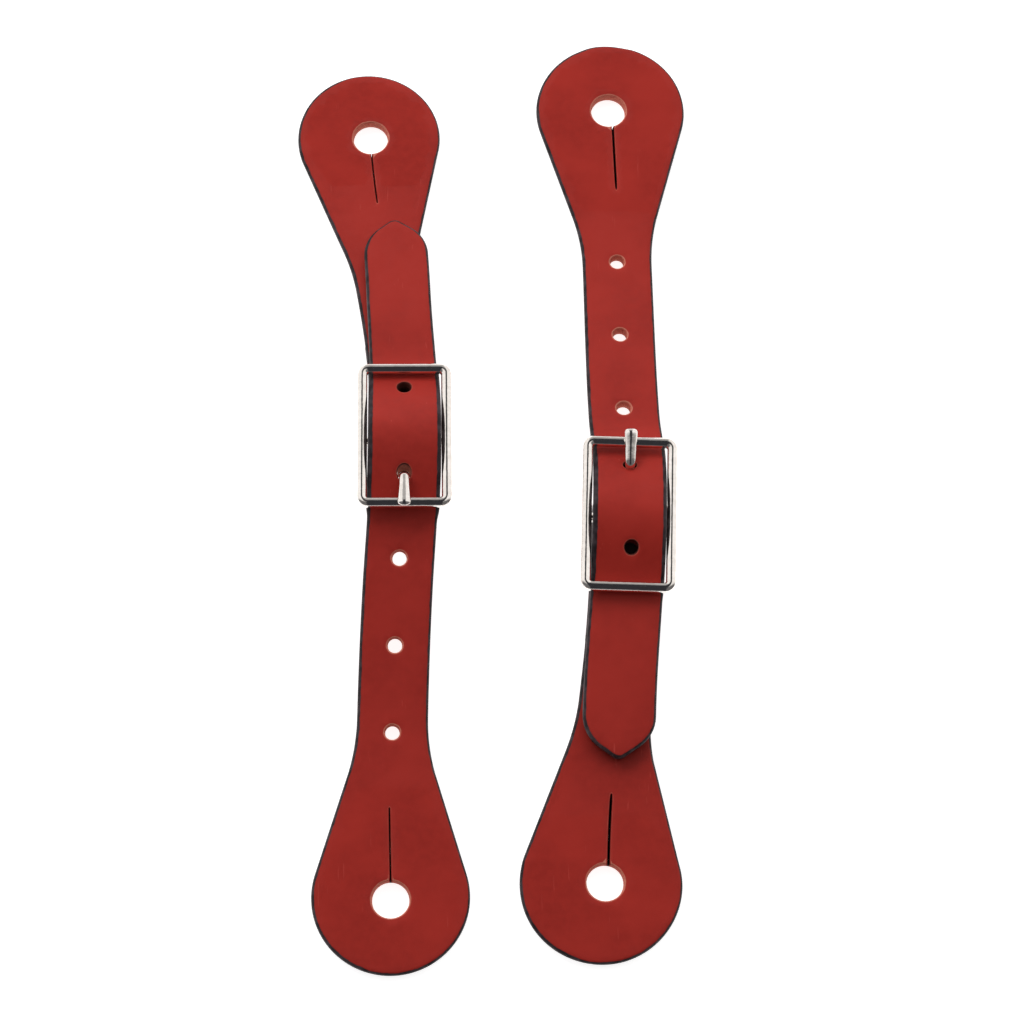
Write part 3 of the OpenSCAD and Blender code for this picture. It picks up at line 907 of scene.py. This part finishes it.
def leather_look():
    """Smooth dyed leather: painted edges, raw hole walls and a rough flesh side."""
    material = bpy.data.materials.new("bridle_leather")
    tree, shader = nodes_of(material)
    m = Maker(tree)
    mm = m.coordinates(MM)
    rim, cut, back = m.attribute("rim"), m.attribute("cut"), m.attribute("back")
    # grain side
    cloud = m.noise(mm, 0.045, 3, 0.55)
    mottle = m.noise(mm, 0.5, 4, 0.6)
    pores = m.noise(mm, 3.2, 3, 0.6)
    colour = m.mix(m.ramp(cloud, 0.36, 0.66), GRAIN_DEEP, GRAIN)
    colour = m.mix(m.ramp(mottle, 0.3, 0.75, 0.0, 0.55), colour, GRAIN)
    colour = m.mix(m.ramp(pores, 0.62, 0.78, 0.0, 0.35), colour, GRAIN_PALE)
    colour = m.mix(m.ramp(pores, 0.40, 0.24, 0.0, 0.35), colour, GRAIN_DEEP)
    scratches = scratch_marks(m, mm)
    colour = m.mix(m.maths("MULTIPLY", scratches, 0.6), colour, GRAIN_PALE)
    # flesh side
    fibres = m.noise(mm, 2.4, 5, 0.7, 0.6)
    flesh = m.mix(m.ramp(fibres, 0.3, 0.75), FLESH, FLESH_PALE)
    colour = m.mix(m.ramp(back, 0.35, 0.65), colour, flesh)
    # dye gathers near the edges
    colour = m.mix(m.ramp(rim, 1.6, 0.2, 0.0, 0.5), colour, GRAIN_DEEP)
    # hole walls and rims, with painted shade in the holes inside the buckle, along the slits and under the
    # back hole
    ragged = m.maths("MULTIPLY", m.maths("SUBTRACT", mottle, 0.5), 0.35)
    raw = m.mix(m.ramp(fibres, 0.35, 0.7), RAW, GRAIN_PALE)
    near_cut = m.maths("ADD", cut, ragged)
    ink = m.attribute("ink")
    # inside the buckle, where ink is high, the raw hole walls are painted dark as shade
    raw = m.mix(m.ramp(ink, 0.1, 0.3, 0.0, 0.93), raw, PAINTED_SHADE)
    from_slit = m.attribute("slit")
    clear = m.ramp(from_slit, 0.25, 0.6)
    # the pale rim is faded there too, so that the painted shade stays dark
    frayed = m.maths("MULTIPLY", m.ramp(near_cut, 0.50, 0.20, 0.0, 0.6), m.ramp(ink, 0.1, 0.3, 1.0, 0.2))
    colour = m.mix(m.maths("MULTIPLY", frayed, clear), colour, RAW_PALE)
    colour = m.mix(m.maths("MULTIPLY", m.ramp(near_cut, 0.26, 0.06, 0.0, 0.9), clear), colour, raw)
    # painted shade: a dark line along each slit, where its gap lies in shade
    colour = m.mix(m.ramp(from_slit, 0.20, 0.06), colour, PAINTED_SHADE)
    # painted shade: a dark patch on the buckle strap where it lies under the billet's back hole
    colour = m.mix(m.ramp(m.attribute("spot"), 0.5, -0.1), colour, PAINTED_SHADE)
    # painted outer edge, worn grey in patches; along its outermost wall a lighter grey is part rubbed wear
    # and part painted highlight where the edge would catch the light
    uneven = m.maths("MULTIPLY", m.maths("SUBTRACT", m.noise(mm, 0.35, 3, 0.6), 0.5), 0.5)
    near_rim = m.maths("SUBTRACT", m.maths("ADD", rim, uneven), ink)
    paint = m.ramp(near_rim, 0.74, 0.50)
    worn = m.ramp(m.noise(mm, 0.4, 3, 0.5), 0.32, 0.75)
    edge = m.mix(worn, EDGE, EDGE_WORN)
    edge = m.mix(m.maths("MULTIPLY", worn, m.ramp(rim, 0.3, 0.0, 0.0, 0.55)), edge, EDGE_WEAR_AND_SHEEN)
    colour = m.mix(paint, colour, edge)
    m.link(colour, shader.inputs["Base Color"])
    # gloss
    rough = m.ramp(mottle, 0.3, 0.7, 0.44, 0.54)
    rough = m.maths("ADD", rough, m.ramp(pores, 0.4, 0.7, 0.0, 0.05))
    rough = m.maths("ADD", rough, m.maths("MULTIPLY", m.ramp(back, 0.35, 0.65), 0.35))
    rough = m.maths("MINIMUM", rough, m.maths("SUBTRACT", 1.0, m.maths("MULTIPLY", paint, 0.48)))
    rough = m.maths("MAXIMUM", rough, m.ramp(near_cut, 0.2, 0.05, 0.0, 0.85), True)
    m.link(rough, shader.inputs["Roughness"])
    shader.inputs["Specular IOR Level"].default_value = 0.18
    # relief
    waves = m.noise(mm, 0.11, 2, 0.5)
    normal = m.bump(waves, 0.5, 0.0006)
    fine = m.maths("ADD", m.maths("MULTIPLY", pores, 0.6), m.maths("MULTIPLY", mottle, 0.8))
    fine = m.maths("SUBTRACT", fine, m.maths("MULTIPLY", scratches, 0.5))
    normal = m.bump(fine, 0.35, 0.00012, normal)
    rough_side = m.maths("MULTIPLY", fibres, m.ramp(back, 0.35, 0.65))
    normal = m.bump(rough_side, 0.8, 0.0004, normal)
    m.link(normal, shader.inputs["Normal"])
    return material


def nickel_look():
    """Polished nickel plate with soft casting waves, fine rubbing marks and dull patches."""
    material = bpy.data.materials.new("polished_nickel")
    tree, shader = nodes_of(material)
    m = Maker(tree)
    mm = m.coordinates(MM)
    patches = m.noise(mm, 0.5, 4, 0.6)
    rub = m.noise(m.coordinates((4000, 500, 1000), 0.5), 1.2, 3, 0.6)
    colour = m.mix(m.ramp(patches, 0.3, 0.7), NICKEL, NICKEL_DULL)
    m.link(colour, shader.inputs["Base Color"])
    shader.inputs["Metallic"].default_value = 1.0
    rough = m.maths("ADD", m.ramp(patches, 0.35, 0.75, 0.06, 0.13), m.ramp(rub, 0.55, 0.75, 0.0, 0.06))
    m.link(rough, shader.inputs["Roughness"])
    normal = m.bump(m.noise(mm, 0.55, 2, 0.5), 0.16, 0.0003)
    normal = m.bump(rub, 0.05, 0.00002, normal)
    m.link(normal, shader.inputs["Normal"])
    return material


LEATHER_LOOK = leather_look()
NICKEL_LOOK = nickel_look()


def left_side(s, u):
    """How much wider the edge paint is on the side of a strap that faces -X."""
    return 0.24 * ease((-u if s == 0 else u) / 2 - 2.5)


def billet(s, to_world):
    """The long leather, with its holes; its edge paint is wide in the buckle and thin at the head."""
    front = [(0, FRONT_HOLE[s] - i * HOLE_PITCH) for i in range(FRONT_HOLES)]
    across, along = TONGUE_HOLE_W / 2, TONGUE_HOLE_L[s] / 2
    holes = [keyhole(BILLET_HEADS[s], -1)]
    holes += [circle(at, HOLE_R) for at in front]
    holes += [circle(BACK_HOLE[s], BACK_HOLE_R)]
    holes += [[(u * across, TONGUE_HOLE[s] + y * along) for u, y in circle((0, 0), 1)]]
    return leather(
        f"{SIDES[s]}_billet_leather",
        both_halves(billet_half(s)),
        holes,
        billet_place(s),
        to_world,
        slit=(*slit_ends(BILLET_HEADS[s], -1), BILLET_SLIT_OPEN[s]),
        rounds=[(button_hole(BILLET_HEADS[s], -1), BUTTON_R)] + [(at, HOLE_R) for at in front],
        ink=lambda u, y: 0.42 * in_buckle(y) - 0.1 * ease((-75 - y) / 20) + left_side(s, u),
    )


def tongue_slot():
    """The slot through the fold that lets the tongue out, with points along its straight sides."""
    slot = stadium((0, -FOLD_L / 2), FOLD_L / 2 + SLOT_END - SLOT_W / 2, SLOT_W / 2)
    ends = slot[10][1], slot[11][1]
    loop = slot[:11] + [(-SLOT_W / 2, y) for y in span(*ends, 24)[1:-1]]
    return loop + slot[11:] + [(SLOT_W / 2, y) for y in span(*ends[::-1], 24)[1:-1]]


def buckle_strap(s, to_world):
    """The short leather, with painted shade where it shows through the billet's back hole."""
    return leather(
        f"{SIDES[s]}_buckle_strap_leather",
        both_halves(buckle_half(s)),
        [
            keyhole(BUCKLE_HEADS[s], 1),
            tongue_slot(),
            circle((0, RIVET_Y), RIVET_R),
            circle((0, -FOLD_L - RIVET_Y), RIVET_R),
        ],
        buckle_place(s),
        to_world,
        slit=(*slit_ends(BUCKLE_HEADS[s], 1), BUCKLE_SLIT_OPEN[s]),
        rounds=[(button_hole(BUCKLE_HEADS[s], 1), BUTTON_R)],
        ink=lambda u, y: -0.1 * ease((y - 50) / 20) + left_side(s, u),
        spot=(BACK_HOLE[s], BACK_HOLE_R + 0.5),
    )


for s, side in enumerate(SIDES):
    to_world = lay(s)
    piece = billet(s, to_world)
    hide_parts(f"{side}_billet", f"{side}_billet_head")
    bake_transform(piece)

    piece = buckle_strap(s, to_world)
    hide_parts(f"{side}_buckle_strap", f"{side}_buckle_strap_head")
    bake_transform(piece)

    piece = buckle(s, to_world)
    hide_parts(f"{side}_buckle_frame")
    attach(piece, f"{side}_frame")

    piece = tongue(s, to_world)
    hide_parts(f"{side}_tongue")
    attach(piece, f"{side}_tongue")

for node in frame["nodes"].values():
    if "rivet" in node.name:
        node.data.materials.clear()
        node.data.materials.append(NICKEL_LOOK)

# Floor, light and camera

FLOOR_HALF_M = 12
FLOOR_Z_M = -0.0002
FLOOR = (0.62, 0.62, 0.62, 1)
FLOOR_DULL = (0.58, 0.58, 0.58, 1)
SKY = (1, 0.975, 0.955, 1)
SKY_DARK = (0.03, 0.03, 0.035, 1)


def floor():
    """A wide pale floor that glows a little, so that it stays plain under the pair."""
    mesh = bpy.data.meshes.new("floor")
    w = FLOOR_HALF_M
    corners = [(x, y, FLOOR_Z_M) for x, y in ((-w, -w), (w, -w), (w, w), (-w, w))]
    mesh.from_pydata(corners, [], [(0, 1, 2, 3)])
    material = bpy.data.materials.new("white_floor")
    tree, shader = nodes_of(material)
    m = Maker(tree)
    tone = m.noise(m.coordinates((3, 3, 3)), 1.0)
    m.link(m.mix(tone, FLOOR_DULL, FLOOR), shader.inputs["Base Color"])
    shader.inputs["Roughness"].default_value = 0.9
    shader.inputs["Specular IOR Level"].default_value = 0.1
    shader.inputs["Emission Color"].default_value = (1, 1, 1, 1)
    shader.inputs["Emission Strength"].default_value = 0.85
    show("floor", mesh, material)


def softbox(name, at, size, power):
    """A soft light at a place, in metres, facing the pair; it isn't seen in the metal."""
    light = bpy.data.lights.new(name, "AREA")
    light.shape = "RECTANGLE"
    light.size, light.size_y = size
    light.energy = power
    obj = bpy.data.objects.new(name, light)
    bpy.context.scene.collection.objects.link(obj)
    obj.location = at
    obj.rotation_mode = "QUATERNION"
    obj.rotation_quaternion = (-Vector(at)).to_track_quat("-Z", "Y")
    obj.visible_glossy = False


def studio():
    """A bright surround that is dark overhead and on the near side, and two soft lights."""
    world = bpy.data.worlds.new("studio")
    bpy.context.scene.world = world
    world.use_nodes = True
    m = Maker(world.node_tree)
    direction = m.add("ShaderNodeTexCoord").outputs["Generated"]
    parts = m.add("ShaderNodeSeparateXYZ")
    m.link(direction, parts.inputs[0])
    background = world.node_tree.nodes["Background"]
    sideways = m.maths("ABSOLUTE", parts.outputs[0])
    lit = m.maths("MAXIMUM", m.ramp(sideways, 0.12, 0.30), m.ramp(parts.outputs[2], 0.42, 0.22))
    far_glow = m.ramp(parts.outputs[1], 0.42, 0.75, 0.0, 0.42)
    lit = m.maths("MAXIMUM", lit, far_glow)
    lit = m.maths("MULTIPLY", lit, m.ramp(parts.outputs[1], -0.25, 0.15, 0.12, 1.0))
    sky = m.mix(lit, SKY_DARK, SKY)
    m.link(sky, background.inputs["Color"])
    background.inputs["Strength"].default_value = 1.0
    softbox("key", (-0.2, 0.55, 0.58), (0.9, 0.4), 4.2)
    softbox("fill", (0, -0.1, 1.6), (1.2, 1.2), 1.5)


floor()
studio()

# The camera looks down on the pair from above and in front of it
LENS_MM = 105.05
CAMERA_MM = (-23.049, -283.458, 756.778)
TILT, LEAN, ROLL = 0.35018, 0.03401, -0.02877


def camera():
    data = bpy.data.cameras.new("camera")
    data.lens = LENS_MM
    data.sensor_width = 36
    data.clip_start, data.clip_end = 0.01, 20
    obj = bpy.data.objects.new("camera", data)
    bpy.context.scene.collection.objects.link(obj)
    forward = Vector(
        (
            math.sin(LEAN) * math.cos(TILT),
            math.sin(TILT),
            -math.cos(TILT) * math.cos(LEAN),
        )
    ).normalized()
    right = forward.cross(Vector((0, 1, 0))).normalized()
    up = right.cross(forward).normalized()
    turned_right = right * math.cos(ROLL) + up * math.sin(ROLL)
    turned_up = up * math.cos(ROLL) - right * math.sin(ROLL)
    obj.matrix_world = Matrix(
        (
            (turned_right.x, turned_up.x, -forward.x, CAMERA_MM[0] * M),
            (turned_right.y, turned_up.y, -forward.y, CAMERA_MM[1] * M),
            (turned_right.z, turned_up.z, -forward.z, CAMERA_MM[2] * M),
            (0, 0, 0, 1),
        )
    )
    bpy.context.scene.camera = obj


camera()
bpy.context.scene.view_settings.view_transform = "Standard"
bpy.context.scene.view_settings.look = "None"
